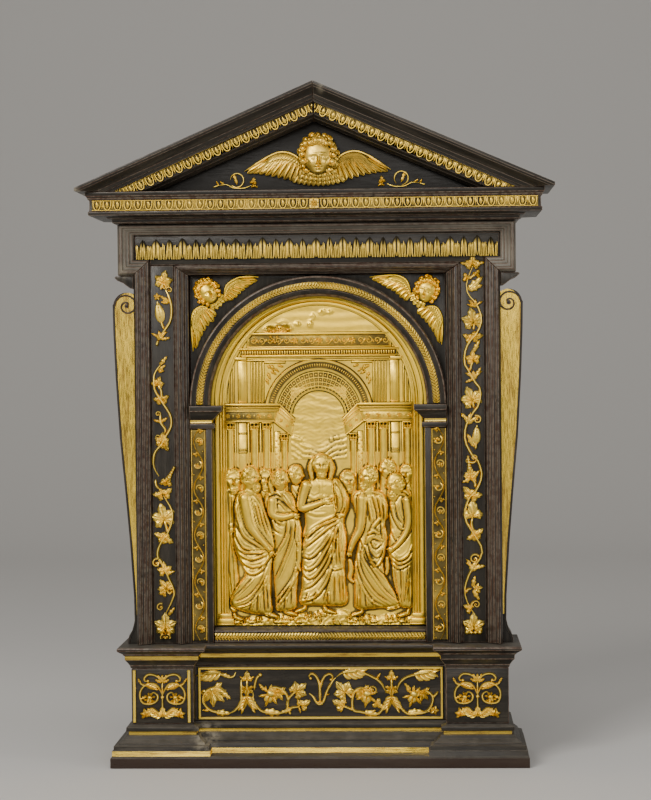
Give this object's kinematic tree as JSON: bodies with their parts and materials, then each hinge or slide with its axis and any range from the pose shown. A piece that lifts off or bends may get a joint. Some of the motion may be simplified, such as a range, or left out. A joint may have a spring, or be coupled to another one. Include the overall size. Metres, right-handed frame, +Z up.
{
  "type": "liturgical pax",
  "caption": "Gilt metal relief of robed figures before an arcade, set in an ebonised wooden tabernacle frame with a pediment, side consoles and gilt mounts.",
  "frame": {"origin": "middle of the underside, on the surface that the pax stands on", "axes": "+Z up, the front with the relief faces -Y, +X to the spectator's right"},
  "size_m": [0.2352, 0.0584, 0.3377],
  "materials": {
    "ebonised_wood": "black-brown stained hardwood, waxed, rubbed reddish and grey on its edges",
    "gilt_trim": "fire-gilt cast metal with brown patina in its hollows",
    "gilt_relief": "fire-gilt chased relief, burnished on the high parts, brown in the hollows"
  },
  "bodies": {
    "root": {"foot_plinth": "ebonised_wood", "predella": "ebonised_wood", "predella_ledge": "ebonised_wood", "back_board": "ebonised_wood", "frame_stile_right": "ebonised_wood", "frame_stile_left": "ebonised_wood", "frame_head": "ebonised_wood", "inner_frame_right": "ebonised_wood", "inner_frame_left": "ebonised_wood", "inner_frame_head": "ebonised_wood", "pilaster_right": "ebonised_wood", "pilaster_left": "ebonised_wood", "frieze_board": "ebonised_wood", "pier_right": "ebonised_wood", "pier_left": "ebonised_wood", "impost_right": "ebonised_wood", "impost_left": "ebonised_wood", "sill": "ebonised_wood", "arch_moulding": "ebonised_wood", "spandrel_right": "ebonised_wood", "spandrel_left": "ebonised_wood", "console_right": "ebonised_wood", "console_left": "ebonised_wood", "console_cap_right": "ebonised_wood", "console_cap_left": "ebonised_wood", "cornice": "ebonised_wood", "tympanum": "ebonised_wood", "raking_cornice_right": "ebonised_wood", "raking_cornice_left": "ebonised_wood", "cornice_eggs_right": "gilt_trim", "cornice_eggs_left": "gilt_trim", "cornice_rosette": "gilt_trim", "raking_eggs_right": "gilt_trim", "raking_eggs_left": "gilt_trim", "frieze_leaves": "gilt_trim", "arch_leaf_band_left": "gilt_trim", "arch_leaf_band_right": "gilt_trim", "sill_leaf_band_left": "gilt_trim", "sill_leaf_band_right": "gilt_trim", "pier_scroll_right": "gilt_trim", "pier_scroll_left": "gilt_trim", "pilaster_vine_right": "gilt_trim", "pilaster_vine_left_upper": "gilt_trim", "pilaster_vine_left_lower": "gilt_trim", "predella_border": "gilt_trim", "die_fillet_left_outer": "gilt_trim", "die_fillet_left_inner": "gilt_trim", "predella_rinceau_left": "gilt_trim", "predella_rinceau_right": "gilt_trim", "predella_lyre": "gilt_trim", "pedestal_ornament_left": "gilt_trim", "pedestal_ornament_right": "gilt_trim", "pediment_cherub": "gilt_trim", "pediment_scroll_right": "gilt_trim", "pediment_scroll_left": "gilt_trim", "spandrel_cherub_right": "gilt_trim", "spandrel_cherub_left": "gilt_trim", "relief_plaque": "gilt_relief"}
  },
  "joints": []
}
